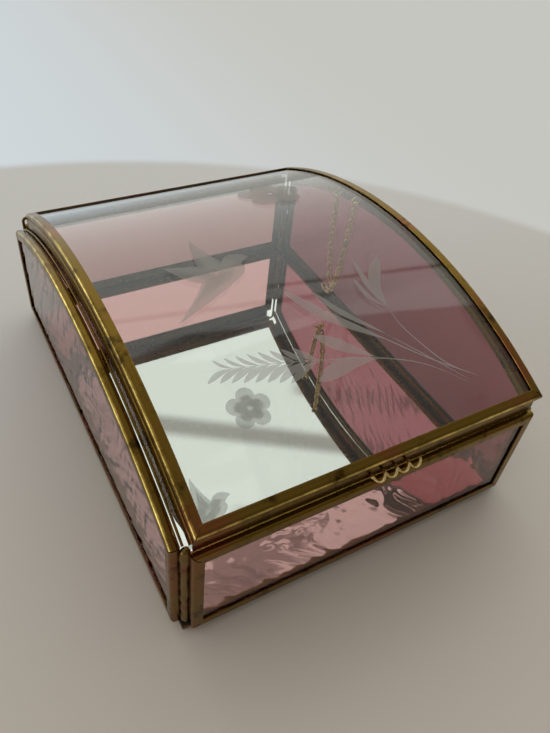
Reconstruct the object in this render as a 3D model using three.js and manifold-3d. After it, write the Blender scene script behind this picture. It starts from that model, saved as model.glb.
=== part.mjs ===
// Glass casket box: panes held in U section brass came, a mirror floor and a bent glass lid.
// Millimetres, +Z up, front towards -Y, right towards +X, origin at the bottom centre.
import * as THREE from "three";
import { mergeVertices } from "three/addons/utils/BufferGeometryUtils.js";
import Module from "manifold-3d";

const wasm = await Module();
wasm.setup();

// Driving dimensions of the box
const box_width = 152.4; // over the outer faces of the two end walls
const side_length = 186; // each end wall, front to back
const wall_height = 46; // straight height of all four walls
const arch_rise = 23.3; // the end walls' arched tops above their straight height
const corner_gap = 1.4; // between an end wall's edge and the front or back wall, each way
const base_inset = 3; // the floor panel's edge behind the walls' outer faces
const seat_gap = 0.3; // between pieces that touch or are soldered
const facet_angle = Math.PI / 60; // one step of a round outline
const halvings = 50;

// Came: a U section channel
const came_thickness = 4; // across the pane
const came_leg = 4; // how far the legs reach over the pane
const came_wall = 0.5;
const came_corner = 0.8; // rounded outer edges of the web
const corner_steps = 3;
const mitre_gap = 0.3;
const glass_play = 0.3; // between a pane and the channel round its edge, each side

// Lid
const lid_side_clearance = 1.9; // between the lid and each end wall
const lid_front_height = 10.3; // the lid's front edge above the front wall
const lid_steps = 32;
const skirt_thickness = 0.8; // flat strips that hang under the lid's front and side rails
const side_skirt_ledge = 0.5; // how far the side strips stand out past their rails
const front_skirt_setback = 2.6; // of the front strip behind the lid's front edge

// Hinge: a wire that runs through a tube on the lid's back rail
const hinge_height = 5.2; // hinge line above the walls' straight tops
const tube_radius = 1.6;
const tube_wall = 0.65;
const tube_setback = 1.8; // the tube's ends short of the lid's sides
const wire_radius = 0.65;
const wire_bend = 1.6;
const wire_leg = 17; // down into each back corner from the hinge line
const round_sides = 12;

// Thumb coil: an open wound wire in front of the lid's front strip
const coil_wire_radius = 0.55;
const coil_radius = 1.5; // at the middle of the wire
const coil_pitch = 5;
const coil_turns = 4;
const coil_centre_x = 3.4;
const coil_turn_steps = 24;
const coil_sides = 6;

// Stay chain: oval links, hung from a ring on the right end wall and one on the lid
const link_wire_radius = 0.42;
const link_width = 3.3;
const link_pitch = 2.85;
const link_bite = 0.25; // how far neighbouring links press into each other
const link_steps = 8;
const link_sides = 5;
const lid_strand_links = 22; // an even number, so that every second link turns
const wall_strand_links = 17; // an odd number, so that both end links hang the same way
const ring_radius = 2;
const ring_wire_radius = 0.45;
const wall_ring_y = 44.8;
const lid_ring_y = 24.4;

const half_thickness = came_thickness / 2;
const glass_thickness = came_thickness - 2 * (came_wall + glass_play);
const wall_foot = came_thickness + seat_gap; // the walls stand on the floor panel's frame
const wall_top = wall_foot + wall_height;
const end_wall_x = box_width / 2 - half_thickness;
const end_wall_inner = end_wall_x - half_thickness;
const front_wall_y = side_length / 2 + corner_gap + half_thickness;
const front_wall_width = 2 * (end_wall_inner - corner_gap);
const corner_x = end_wall_inner - corner_gap / 2;
const corner_y = (side_length + corner_gap) / 2;
const outer_y = front_wall_y + half_thickness;
const arch_radius = arc_radius(side_length, arch_rise);

// Finishes
const brass = new THREE.MeshStandardMaterial({ color: 0x6e5526, roughness: 0.38, metalness: 1 });
const solder = new THREE.MeshStandardMaterial({ color: 0x8a7a58, roughness: 0.3, metalness: 1 });
const wire_brass = new THREE.MeshStandardMaterial({ color: 0x9a7c3a, roughness: 0.3, metalness: 1 });
const mirror = new THREE.MeshStandardMaterial({ color: 0xdfe5da, roughness: 0.03, metalness: 1 });
const pink_glass = new THREE.MeshStandardMaterial({
  color: 0xa06c74,
  roughness: 0.08,
  metalness: 0,
  transparent: true,
  opacity: 0.6,
});
const clear_glass = new THREE.MeshStandardMaterial({
  color: 0xf2f6f4,
  roughness: 0.03,
  metalness: 0,
  transparent: true,
  opacity: 0.25,
});

// Geometry tools

// The radius of an arc from its chord and its rise.
function arc_radius(chord, rise) {
  return (chord * chord) / (8 * rise) + rise / 2;
}

// Turns a geometry inside out where its faces point inwards.
function facing_out(geometry) {
  const p = geometry.attributes.position;
  const index = geometry.index.array;
  const [a, b, c] = [new THREE.Vector3(), new THREE.Vector3(), new THREE.Vector3()];
  let volume = 0;
  for (let i = 0; i < index.length; i += 3) {
    a.fromBufferAttribute(p, index[i]);
    b.fromBufferAttribute(p, index[i + 1]);
    c.fromBufferAttribute(p, index[i + 2]);
    volume += a.dot(b.cross(c));
  }
  if (volume < 0) index.reverse();
  return geometry;
}

// A closed skin over rings of points: quads between the rings, and either a cap on each end, shaped by
// the flat profile, or the last ring joined to the first.
function skin(rings, profile) {
  const n = rings[0].length;
  const spans = profile ? rings.length - 1 : rings.length;
  const index = [];
  for (let i = 0; i < spans; i++)
    for (let j = 0; j < n; j++) {
      const [a, b] = [i * n + j, i * n + ((j + 1) % n)];
      const [c, d] = [(a + n) % (rings.length * n), (b + n) % (rings.length * n)];
      index.push(a, b, d, a, d, c);
    }
  if (profile) {
    const last = (rings.length - 1) * n;
    for (const [a, b, c] of THREE.ShapeUtils.triangulateShape(profile, [])) {
      index.push(c, b, a);
      index.push(last + a, last + b, last + c);
    }
  }
  const geometry = new THREE.BufferGeometry().setFromPoints(rings.flat());
  geometry.setIndex(index);
  return facing_out(geometry);
}

// A round wire along a line of points. Each ring lies square to the line, turned as little as possible
// from the one before. A closed line joins its last point to its first.
function wire(points, radius, sides, closed = false) {
  const n = points.length;
  const tangents = points.map((p, i) => {
    const before = closed ? points[(i + n - 1) % n] : points[Math.max(i - 1, 0)];
    const after = closed ? points[(i + 1) % n] : points[Math.min(i + 1, n - 1)];
    return after.clone().sub(before).normalize();
  });
  const least = new THREE.Vector3(1, 0, 0);
  if (Math.abs(tangents[0].x) > Math.abs(tangents[0].y)) least.set(0, 1, 0);
  const side = least.cross(tangents[0]).normalize();
  const rings = points.map((p, i) => {
    side.addScaledVector(tangents[i], -side.dot(tangents[i])).normalize();
    const up = tangents[i].clone().cross(side);
    return Array.from({ length: sides }, (_, k) => {
      const angle = (2 * Math.PI * k) / sides;
      return p
        .clone()
        .addScaledVector(side, radius * Math.cos(angle))
        .addScaledVector(up, radius * Math.sin(angle));
    });
  });
  const profile = rings[0].map((_, k) => {
    const angle = (2 * Math.PI * k) / sides;
    return new THREE.Vector2(Math.cos(angle), Math.sin(angle));
  });
  return skin(rings, closed ? null : profile);
}

// Joins overlapping closed geometries into one.
function fused(geometries) {
  const solids = geometries.map((geometry) => {
    const bare = new THREE.BufferGeometry().setAttribute("position", geometry.attributes.position);
    bare.setIndex(geometry.index);
    const merged = mergeVertices(bare);
    return new wasm.Manifold(
      new wasm.Mesh({
        numProp: 3,
        vertProperties: new Float32Array(merged.attributes.position.array),
        triVerts: new Uint32Array(merged.index.array),
      }),
    );
  });
  const mesh = solids.reduce((all, one) => all.add(one)).getMesh();
  const geometry = new THREE.BufferGeometry();
  geometry.setAttribute("position", new THREE.BufferAttribute(mesh.vertProperties, mesh.numProp));
  geometry.setIndex(new THREE.BufferAttribute(mesh.triVerts, 1));
  return geometry;
}

function named(name, geometry, material) {
  if (!geometry.attributes.normal) geometry.computeVertexNormals();
  const mesh = new THREE.Mesh(geometry, material);
  mesh.name = name;
  return mesh;
}

// Panels: a pane with a length of came on each of its edges

// The came's section, counterclockwise, as depth from the panel's edge and distance across it.
function came_section() {
  const inner = half_thickness - came_wall;
  const points = [
    [came_leg, half_thickness],
    [came_leg, inner],
    [came_wall, inner],
    [came_wall, -inner],
    [came_leg, -inner],
    [came_leg, -half_thickness],
  ];
  for (const side of [-1, 1])
    for (let i = 0; i <= corner_steps; i++) {
      const turn = (Math.PI / 2) * (side < 0 ? i / corner_steps : 1 - i / corner_steps);
      const along = came_corner * (1 - Math.sin(turn));
      const across = half_thickness - came_corner * (1 - Math.cos(turn));
      points.push([along, side * across]);
    }
  return points.map(([depth, across]) => new THREE.Vector2(depth, across)).reverse();
}

// The step inwards at each point of a closed counterclockwise outline, for each unit of depth.
function inward_steps(outline) {
  const n = outline.length;
  return outline.map((p, i) => {
    const before = p.clone().sub(outline[(i + n - 1) % n]).normalize();
    const after = outline[(i + 1) % n].clone().sub(p).normalize();
    const sum = new THREE.Vector2(-before.y - after.y, before.x + after.x);
    return sum.multiplyScalar(1 / (1 + before.dot(after)));
  });
}

// The four edges of a panel as lists of points, each of which ends where the next starts.
function join_edges(edges) {
  return edges.flatMap((edge) => edge.slice(0, -1));
}

// One length of came along an edge, its ends cut on the corners' mitres. place turns a point of the flat
// panel, and its distance across it, into a point in space.
function came(edges, which, place) {
  const outline = join_edges(edges);
  const steps = inward_steps(outline);
  const first = edges.slice(0, which).reduce((sum, edge) => sum + edge.length - 1, 0);
  const edge = edges[which];
  const section = came_section();
  const rings = edge.map((p, i) => {
    const step = steps[(first + i) % outline.length];
    const shift = new THREE.Vector2();
    if (i === 0) shift.copy(edge[1]).sub(p);
    if (i === edge.length - 1) shift.copy(edge[i - 1]).sub(p);
    shift.setLength((mitre_gap / 2) * step.length() * Math.sign(shift.length()));
    return section.map(({ x: depth, y: across }) => {
      const at = p.clone().addScaledVector(step, depth).add(shift);
      return place(at.x, at.y, across);
    });
  });
  return skin(rings, section);
}

// The outline of the pane that the cames hold.
function pane_outline(edges) {
  const outline = join_edges(edges);
  const steps = inward_steps(outline);
  return outline.map((p, i) => p.clone().addScaledVector(steps[i], came_wall + glass_play));
}

function flat_pane(edges) {
  const geometry = new THREE.ExtrudeGeometry(new THREE.Shape(pane_outline(edges)), {
    depth: glass_thickness,
    bevelEnabled: false,
  });
  return geometry.translate(0, 0, -glass_thickness / 2);
}

// A flat panel's meshes, in the panel's own plane. names gives the bottom, right, top and left cames.
function flat_panel(pane_name, names, edges, material) {
  const group = new THREE.Group();
  const place = (x, y, across) => new THREE.Vector3(x, y, across);
  group.add(named(pane_name, flat_pane(edges), material));
  names.forEach((name, i) => group.add(named(name, came(edges, i, place), brass)));
  return group;
}

// The edges of an upright panel that stands on its local x axis, with an arched or a straight top.
function upright_edges(width, height, rise) {
  const [left, right] = [-width / 2, width / 2];
  const point = (x, y) => new THREE.Vector2(x, y);
  let top = [point(right, height), point(left, height)];
  if (rise > 0) {
    const radius = arc_radius(width, rise);
    const half_angle = Math.asin(right / radius);
    const steps = Math.ceil((2 * half_angle) / facet_angle);
    top = Array.from({ length: steps + 1 }, (_, i) => {
      const angle = half_angle * (1 - (2 * i) / steps);
      const [x, y] = [radius * Math.sin(angle), radius * Math.cos(angle)];
      return point(x, height + rise - radius + y);
    });
  }
  return [
    [point(left, 0), point(right, 0)],
    [point(right, 0), point(right, height)],
    top,
    [point(left, height), point(left, 0)],
  ];
}

// Stands a panel up: its local x runs along the given axis, its local y points up.
function stand(group, along, position) {
  const up = new THREE.Vector3(0, 0, 1);
  group.quaternion.setFromRotationMatrix(
    new THREE.Matrix4().makeBasis(along, up, along.clone().cross(up)),
  );
  group.position.copy(position);
  return group;
}

// End walls
const end_edges = upright_edges(side_length, wall_height, arch_rise);
const towards_back = new THREE.Vector3(0, 1, 0);
const towards_right = new THREE.Vector3(1, 0, 0);

function end_wall(side, sign) {
  const names = ["bottom", "back", "arch", "front"].map((edge) => `${side}_came_${edge}`);
  const panel = flat_panel(`${side}_glass`, names, end_edges, pink_glass);
  return stand(panel, towards_back, new THREE.Vector3(sign * end_wall_x, 0, wall_foot));
}

// Front and back walls
function long_wall(side, sign) {
  const names = ["bottom", "right", "top", "left"].map((edge) => `${side}_came_${edge}`);
  const edges = upright_edges(front_wall_width, wall_height, 0);
  const panel = flat_panel(`${side}_glass`, names, edges, pink_glass);
  return stand(panel, towards_right, new THREE.Vector3(0, sign * front_wall_y, wall_foot));
}

// Floor: a mirror in its own came, lying under the walls
function floor_panel() {
  const width = box_width - 2 * base_inset;
  const depth = 2 * (outer_y - base_inset);
  const names = ["front", "right", "back", "left"].map((edge) => `base_came_${edge}`);
  const panel = flat_panel("base_mirror", names, upright_edges(width, depth, 0), mirror);
  panel.position.set(0, -depth / 2, half_thickness);
  return panel;
}

// Lid: a sheet bent to one arc, which ends at the hinge tube behind and over the front wall. At the hinge
// it slopes as the end walls' arches do at their ends.
const lid_end_slope = Math.asin(side_length / (2 * arch_radius));
const hinge = new THREE.Vector2(corner_y, wall_top + hinge_height);
const lid_normal = new THREE.Vector2(Math.sin(lid_end_slope), Math.cos(lid_end_slope));
const lid_tangent = new THREE.Vector2(Math.cos(lid_end_slope), -Math.sin(lid_end_slope));
const lid_back = hinge
  .clone()
  .addScaledVector(lid_tangent, -(tube_radius + seat_gap))
  .addScaledVector(lid_normal, half_thickness);
const lid_front = new THREE.Vector2(-outer_y, wall_top + lid_front_height);
const lid_chord = lid_front.clone().sub(lid_back);
const lid_outer_radius = -lid_chord.lengthSq() / (2 * lid_chord.dot(lid_normal));
const lid_radius = lid_outer_radius - half_thickness; // at the middle of the sheet
const lid_centre = lid_back.clone().addScaledVector(lid_normal, -lid_outer_radius);
const lid_front_angle = Math.atan2(lid_front.x - lid_centre.x, lid_front.y - lid_centre.y);
const lid_length = lid_radius * (lid_end_slope - lid_front_angle);
const lid_half_width = end_wall_inner - lid_side_clearance;

// A point of the lid, drawn flat with y along its length from the front, bent to its place.
function bend(x, y, across) {
  const angle = lid_front_angle + y / lid_radius;
  const radius = lid_radius + across;
  return new THREE.Vector3(
    x,
    lid_centre.x + radius * Math.sin(angle),
    lid_centre.y + radius * Math.cos(angle),
  );
}

// The height of the lid's underside over a place on its length.
function lid_underside(y) {
  const radius = lid_radius - half_thickness;
  return lid_centre.y + Math.sqrt(radius * radius - (y - lid_centre.x) ** 2);
}

function lid_panel() {
  const group = new THREE.Group();
  const [left, right] = [-lid_half_width, lid_half_width];
  const along = Array.from({ length: lid_steps + 1 }, (_, i) => (lid_length * i) / lid_steps);
  const line = (x, places) => places.map((y) => new THREE.Vector2(x, y));
  const edges = [
    [new THREE.Vector2(left, 0), new THREE.Vector2(right, 0)],
    line(right, along),
    [new THREE.Vector2(right, lid_length), new THREE.Vector2(left, lid_length)],
    line(left, [...along].reverse()),
  ];
  ["front", "right", "back", "left"].forEach((edge, i) =>
    group.add(named(`lid_came_${edge}`, came(edges, i, bend), brass)),
  );
  const inset = came_wall + glass_play;
  const half = glass_thickness / 2;
  const pane = bent_bar([left + inset, right - inset], [inset, lid_length - inset], [-half, half]);
  group.add(named("lid_glass", pane, clear_glass));
  return group;
}

// A bar that follows the lid's arc: its ranges across the lid, along it and square to it.
function bent_bar([left, right], [from, to], [low, high]) {
  const section = [
    [left, low],
    [right, low],
    [right, high],
    [left, high],
  ];
  const rings = Array.from({ length: lid_steps + 1 }, (_, i) => {
    const y = THREE.MathUtils.lerp(from, to, i / lid_steps);
    return section.map(([x, across]) => bend(x, y, across));
  });
  return skin(rings, section.map(([x, across]) => new THREE.Vector2(x, across)));
}

// Skirt: strips that close the gap between the lid's rails and the walls. The front one is upright. The
// side ones are bent to the lid's arc and end just above the ring on the right wall.
const front_skirt_y = front_skirt_setback - outer_y;
const skirt_side_x = lid_half_width + side_skirt_ledge;

function front_skirt() {
  const width = 2 * (skirt_side_x - skirt_thickness - seat_gap);
  const foot = wall_top + 2 * seat_gap;
  const head = lid_underside(front_skirt_y) - seat_gap / Math.cos(lid_front_angle);
  const geometry = new THREE.BoxGeometry(width, skirt_thickness, head - foot);
  geometry.translate(0, front_skirt_y + skirt_thickness / 2, (head + foot) / 2);
  return named("lid_skirt_front", geometry, brass);
}

function side_skirt(name, sign) {
  const ring_top = new THREE.Vector2(wall_ring.y, wall_ring.z + ring_radius);
  const foot = ring_top.distanceTo(lid_centre) + ring_wire_radius + seat_gap - lid_radius;
  const head = -half_thickness - seat_gap;
  const sides = [sign * skirt_side_x, sign * (skirt_side_x - skirt_thickness)].sort((a, b) => a - b);
  return named(name, bent_bar(sides, [0, lid_length - came_leg], [foot, head]), brass);
}

// Solder beads that fill the corner gaps between the upright cames
function bead(name, sign_x, sign_y, top) {
  const diagonal = (corner_gap / 2 + came_corner) * Math.SQRT2 - came_corner;
  const radius = diagonal - seat_gap;
  const height = top - wall_foot;
  const geometry = new THREE.CylinderGeometry(radius, radius, height, round_sides);
  const mesh = named(name, geometry.rotateX(Math.PI / 2), solder);
  mesh.position.set(sign_x * corner_x, sign_y * corner_y, wall_foot + height / 2);
  return mesh;
}

// Hinge tube, soldered along the lid's back rail
const tube_length = 2 * (lid_half_width - tube_setback);

function hinge_tube() {
  const bore = tube_radius - tube_wall;
  const end = tube_length / 2;
  const profile = [
    [bore, -end],
    [tube_radius, -end],
    [tube_radius, end],
    [bore, end],
    [bore, -end],
  ].map(([r, h]) => new THREE.Vector2(r, h));
  const geometry = new THREE.LatheGeometry(profile, 2 * round_sides);
  geometry.deleteAttribute("uv");
  geometry.deleteAttribute("normal");
  const mesh = named("hinge_tube", facing_out(mergeVertices(geometry.rotateZ(Math.PI / 2))), brass);
  mesh.position.set(0, hinge.x, hinge.y);
  return mesh;
}

// Hinge wire: through the tube, with both ends bent down into the back corners
function hinge_wire() {
  const foot = hinge.y - wire_leg;
  const half_line = [new THREE.Vector3(corner_x, hinge.x, foot)];
  for (let i = 0; i <= corner_steps; i++) {
    const turn = (Math.PI / 2) * (i / corner_steps);
    const x = corner_x - wire_bend * (1 - Math.cos(turn));
    const z = hinge.y - wire_bend * (1 - Math.sin(turn));
    half_line.push(new THREE.Vector3(x, hinge.x, z));
  }
  const mirrored = half_line.map((p) => new THREE.Vector3(-p.x, p.y, p.z)).reverse();
  return named("hinge_wire", wire([...half_line, ...mirrored], wire_radius, round_sides), wire_brass);
}

// Thumb coil: it lies against the lid's front strip, just over the top of the front wall
const coil_reach = coil_radius + coil_wire_radius;
const coil_y = front_skirt_y - seat_gap - coil_reach;

function thumb_coil() {
  const centre_z = wall_top + seat_gap + coil_reach;
  const steps = coil_turns * coil_turn_steps;
  const start_x = coil_centre_x - (coil_pitch * coil_turns) / 2;
  const points = Array.from({ length: steps + 1 }, (_, i) => {
    const turn = (2 * Math.PI * i) / coil_turn_steps;
    const x = start_x + (coil_pitch * i) / coil_turn_steps;
    const [y, z] = [coil_radius * Math.sin(turn), coil_radius * Math.cos(turn)];
    return new THREE.Vector3(x, coil_y + y, centre_z + z);
  });
  // The ends run straight on for one diameter of the wire.
  const run_on = (end, beside) => end.clone().add(end.clone().sub(beside).setLength(2 * coil_wire_radius));
  points.unshift(run_on(points[0], points[1]));
  points.push(run_on(points.at(-1), points.at(-2)));
  let least = Infinity;
  for (let i = 0; i < points.length; i++)
    for (let j = i + coil_turn_steps / 2; j < points.length; j++)
      least = Math.min(least, points[i].distanceTo(points[j]));
  console.log(`thumb coil's least gap to itself: ${(least - 2 * coil_wire_radius).toFixed(2)} mm`);
  return named("thumb_coil", wire(points, coil_wire_radius, coil_sides), wire_brass);
}

// Stay chain: one strand hangs just inside the right end wall, the other just inside its ring, so that
// they pass each other as the lid turns
const ring_reach = ring_radius + ring_wire_radius;
const wall_chain_x = end_wall_inner - seat_gap - ring_reach;
const lid_chain_x = wall_chain_x - ring_reach - seat_gap - link_width / 2;

function arch_height(y) {
  return wall_top + arch_rise - arch_radius + Math.sqrt(arch_radius * arch_radius - y * y);
}

const wall_ring = new THREE.Vector3(
  wall_chain_x,
  wall_ring_y,
  arch_height(wall_ring_y) - came_leg / 2,
);
const lid_ring = new THREE.Vector3(
  lid_chain_x,
  lid_ring_y,
  lid_underside(lid_ring_y) - seat_gap - ring_reach,
);

// A ring of wire that stands square to the chain's swing.
function eyelet(name, centre) {
  const geometry = new THREE.TorusGeometry(ring_radius, ring_wire_radius, coil_sides, 2 * round_sides);
  geometry.deleteAttribute("uv");
  geometry.deleteAttribute("normal");
  const mesh = named(name, facing_out(mergeVertices(geometry.rotateX(Math.PI / 2))), wire_brass);
  mesh.position.copy(centre);
  return mesh;
}

// One oval link, its length along y and its width along the given axis.
function link(centre, along, across) {
  const end_radius = link_width / 2 - link_wire_radius;
  const inner_length = link_pitch - link_bite;
  const straight = inner_length / 2 + link_wire_radius - end_radius;
  const points = Array.from({ length: link_steps }, (_, i) => {
    const angle = (2 * Math.PI * (i + 0.5)) / link_steps;
    const sine = Math.sin(angle);
    return centre
      .clone()
      .addScaledVector(across, end_radius * Math.cos(angle))
      .addScaledVector(along, end_radius * sine + Math.sign(sine) * straight);
  });
  return wire(points, link_wire_radius, link_sides, true);
}

// The place where the chain's end link starts, just above the lowest point of a ring's wire.
function chain_end(ring) {
  const drop = ring_radius - ring_wire_radius - seat_gap - link_bite / 2;
  return new THREE.Vector2(ring.y, ring.z - drop);
}

// The joints of the chain as it hangs, from the lid's ring to the wall's: points at given lengths along
// the catenary through both rings. Its parameter is found by halving an interval.
const strand_slack = link_bite + seat_gap; // the joint that is left loose between the two strands
const chain_length = (lid_strand_links + wall_strand_links) * link_pitch - strand_slack;

function hanging_point(x, length_along) {
  const [from, to] = [chain_end(lid_ring), chain_end(wall_ring)];
  const across = to.x - from.x;
  const rise = to.y - from.y;
  const target = Math.sqrt(chain_length ** 2 - rise ** 2);
  let [low, high] = [across / chain_length, across];
  for (let i = 0; i < halvings; i++) {
    const middle = (low + high) / 2;
    if (2 * middle * Math.sinh(across / (2 * middle)) > target) low = middle;
    else high = middle;
  }
  const scale = (low + high) / 2;
  const start = Math.atanh(rise / chain_length) - across / (2 * scale);
  const here = Math.asinh(Math.sinh(start) + length_along / scale);
  const height = Math.cosh(here) - Math.cosh(start);
  return new THREE.Vector3(x, from.x + scale * (here - start), from.y + scale * height);
}

// A strand of links, from one length along the chain on, as one piece. The first link lies in the plane
// that the chain swings in, and every second one square to it.
function strand(name, x, count, from_length) {
  const links = Array.from({ length: count }, (_, i) => {
    const start = hanging_point(x, from_length + i * link_pitch);
    const end = hanging_point(x, from_length + (i + 1) * link_pitch);
    const along = end.clone().sub(start).normalize();
    const in_plane = new THREE.Vector3(0, along.z, -along.y);
    return link(start.add(end).divideScalar(2), along, i % 2 ? towards_right : in_plane);
  });
  return named(name, fused(links), wire_brass);
}

// Assembly
const body = new THREE.Group();
body.add(end_wall("left", -1), end_wall("right", 1));
body.add(long_wall("front", -1), long_wall("back", 1));
body.add(floor_panel());
const wire_foot = hinge.y - wire_leg - seat_gap;
body.add(bead("solder_front_left", -1, -1, wall_top), bead("solder_front_right", 1, -1, wall_top));
body.add(bead("solder_back_left", -1, 1, wire_foot), bead("solder_back_right", 1, 1, wire_foot));
body.add(hinge_wire(), eyelet("wall_eyelet", wall_ring));

const lid = new THREE.Group();
lid.add(lid_panel(), hinge_tube(), thumb_coil(), eyelet("lid_eyelet", lid_ring));
lid.add(front_skirt(), side_skirt("lid_skirt_left", -1), side_skirt("lid_skirt_right", 1));

const chain = new THREE.Group();
const lid_strand_length = lid_strand_links * link_pitch - strand_slack;
chain.add(strand("lid_strand", lid_chain_x, lid_strand_links, 0));
chain.add(strand("wall_strand", wall_chain_x, wall_strand_links, lid_strand_length));

// The coil stands out past the front wall, so the whole moves back until its box is centred.
const casket = new THREE.Group();
casket.add(body, lid, chain);
casket.position.y = (coil_reach - coil_y - outer_y) / 2;

export default casket;
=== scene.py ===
import bpy
import numpy as np
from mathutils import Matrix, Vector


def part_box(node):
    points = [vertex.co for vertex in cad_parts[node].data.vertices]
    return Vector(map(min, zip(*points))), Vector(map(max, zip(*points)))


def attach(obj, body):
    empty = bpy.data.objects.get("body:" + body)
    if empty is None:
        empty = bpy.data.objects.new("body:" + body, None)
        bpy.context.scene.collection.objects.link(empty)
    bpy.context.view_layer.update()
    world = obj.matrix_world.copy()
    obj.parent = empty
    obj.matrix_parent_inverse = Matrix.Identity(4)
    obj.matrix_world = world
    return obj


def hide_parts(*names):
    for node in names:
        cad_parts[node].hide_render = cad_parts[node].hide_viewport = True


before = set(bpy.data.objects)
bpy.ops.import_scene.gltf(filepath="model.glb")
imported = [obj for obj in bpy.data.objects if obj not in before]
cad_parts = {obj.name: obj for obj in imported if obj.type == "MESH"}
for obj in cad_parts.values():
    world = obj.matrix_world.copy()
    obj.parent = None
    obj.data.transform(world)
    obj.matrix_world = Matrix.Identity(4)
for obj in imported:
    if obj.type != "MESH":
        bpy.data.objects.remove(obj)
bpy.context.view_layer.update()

mm = 0.001

# Camera
# It stands over the box's front left corner and looks down on the lid, as the photograph does.
camera_place = np.array((-112.7, -188.93, 227.1))
camera_turn = (46.05, -5.27, -28.93)
photo_width, photo_height = 550, 733
focal_length_pixels = 659
optical_centre_pixel = (274.1, 369.1)
sensor_size = 36

camera = bpy.data.objects.new("camera", bpy.data.cameras.new("camera"))
bpy.context.scene.collection.objects.link(camera)
camera.location = camera_place * mm
camera.rotation_euler = np.radians(camera_turn)
camera.data.sensor_width = sensor_size
camera.data.lens = sensor_size * focal_length_pixels / photo_height
camera.data.shift_x = (photo_width / 2 - optical_centre_pixel[0]) / photo_height
camera.data.shift_y = (optical_centre_pixel[1] - photo_height / 2) / photo_height
camera.data.clip_start = 0.01
bpy.context.scene.camera = camera
bpy.context.scene.view_settings.view_transform = "Standard"


# Daylight
# A wide window behind the box to the right, crossed by two bars, with bright ceiling over it, and a low
# window to the left. They are painted on the world, for the mirror and the bent lid to reflect.
def srgb(text):
    """The linear colour of a hex sRGB one: each channel through the standard curve."""
    value = np.array([int(text[i : i + 2], 16) for i in (1, 3, 5)]) / 255
    linear = np.where(value <= 0.04045, value / 12.92, ((value + 0.055) / 1.055) ** 2.4)
    return (*linear.tolist(), 1.0)


def add_node(tree, kind, settings=None, inputs=None):
    """Adds a shader node, sets its properties, and gives each input its value or its link,
    where a node stands for its first output."""
    node = tree.nodes.new(f"ShaderNode{kind}")
    for name, value in (settings or {}).items():
        setattr(node, name, value)
    for name, value in (inputs or {}).items():
        if isinstance(value, bpy.types.Node):
            value = value.outputs[0]
        if isinstance(value, bpy.types.NodeSocket):
            tree.links.new(value, node.inputs[name])
        else:
            node.inputs[name].default_value = value
    return node


world = bpy.data.worlds.new("room")
bpy.context.scene.world = world
world.use_nodes = True
room = world.node_tree
room.nodes.clear()
smooth_step = {"interpolation_type": "SMOOTHSTEP"}
colour_mix = {"data_type": "RGBA"}
sky_place = add_node(room, "TexCoord").outputs["Generated"]
towards = add_node(room, "SeparateXYZ", inputs={"Vector": sky_place})
turn_from_back = add_node(
    room, "Math", {"operation": "ARCTAN2"}, {0: towards.outputs["X"], 1: towards.outputs["Y"]}
)
height_angle = add_node(room, "Math", {"operation": "ARCSINE"}, {0: towards.outputs["Z"]})
window_azimuth = np.radians(33.5)
towards_window = add_node(
    room,
    "VectorMath",
    {"operation": "DOT_PRODUCT"},
    {0: sky_place, 1: (np.sin(window_azimuth), np.cos(window_azimuth), 0)},
)
bar_angle = add_node(
    room, "Math", {"operation": "ARCTAN2"}, {0: towards.outputs["Z"], 1: towards_window.outputs["Value"]}
)


def sky_between(angle, low, high, softness):
    """One between two angles of the room and none outside them, with soft edges, in degrees."""
    low, high, softness = np.radians((low, high, softness))
    rise = {"Value": angle, "From Min": low - softness, "From Max": low + softness}
    fall = {"Value": angle, "From Min": high - softness, "From Max": high + softness}
    above = add_node(room, "MapRange", smooth_step, rise)
    return add_node(room, "MapRange", smooth_step, {**fall, "To Min": above, "To Max": 0.0})


def combined(tree, operation, *shares):
    """One operation, such as MULTIPLY, carried over several values in turn."""
    total = shares[0]
    for share in shares[1:]:
        total = add_node(tree, "Math", {"operation": operation}, {0: total, 1: share})
    return total


def room_patch(turn, turn_bounds, height, height_bounds):
    """One inside a patch of the room that lies between the bounds of two angles: lowest, highest and
    softness, in degrees."""
    across, upright = sky_between(turn, *turn_bounds), sky_between(height, *height_bounds)
    return combined(room, "MULTIPLY", across, upright)


ceiling_slant = 1.3
slant_angle = add_node(
    room, "Math", {"operation": "MULTIPLY_ADD"}, {0: height_angle, 1: ceiling_slant, 2: turn_from_back}
)
whole_window = room_patch(turn_from_back, (-20, 80, 3), bar_angle, (-6, 56, 0.5))
wide_bar = room_patch(turn_from_back, (-25, 50, 3), bar_angle, (48.9, 50.4, 0.5))
narrow_bar = room_patch(turn_from_back, (37, 84, 1.5), bar_angle, (44.7, 45.7, 0.4))
near_ceiling = room_patch(slant_angle, (-60, 105, 3), height_angle, (50.8, 60.5, 0.6))
sloped_ceiling = room_patch(slant_angle, (117.5, 127, 1), height_angle, (50.8, 63, 0.6))
left_window = room_patch(turn_from_back, (-100, -26, 6), height_angle, (-2, 14, 2))
window_panes = combined(room, "SUBTRACT", whole_window, wide_bar, narrow_bar)
lit_share = combined(room, "MAXIMUM", window_panes, near_ceiling, sloped_ceiling)
behind_viewer = add_node(
    room, "MapRange", smooth_step, {"Value": towards.outputs["Y"], "From Min": 0.1, "From Max": -0.7}
)
unlit_room = add_node(room, "Mix", colour_mix, {0: behind_viewer, 6: srgb("#aca8a2"), 7: srgb("#7e7a74")})
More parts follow.
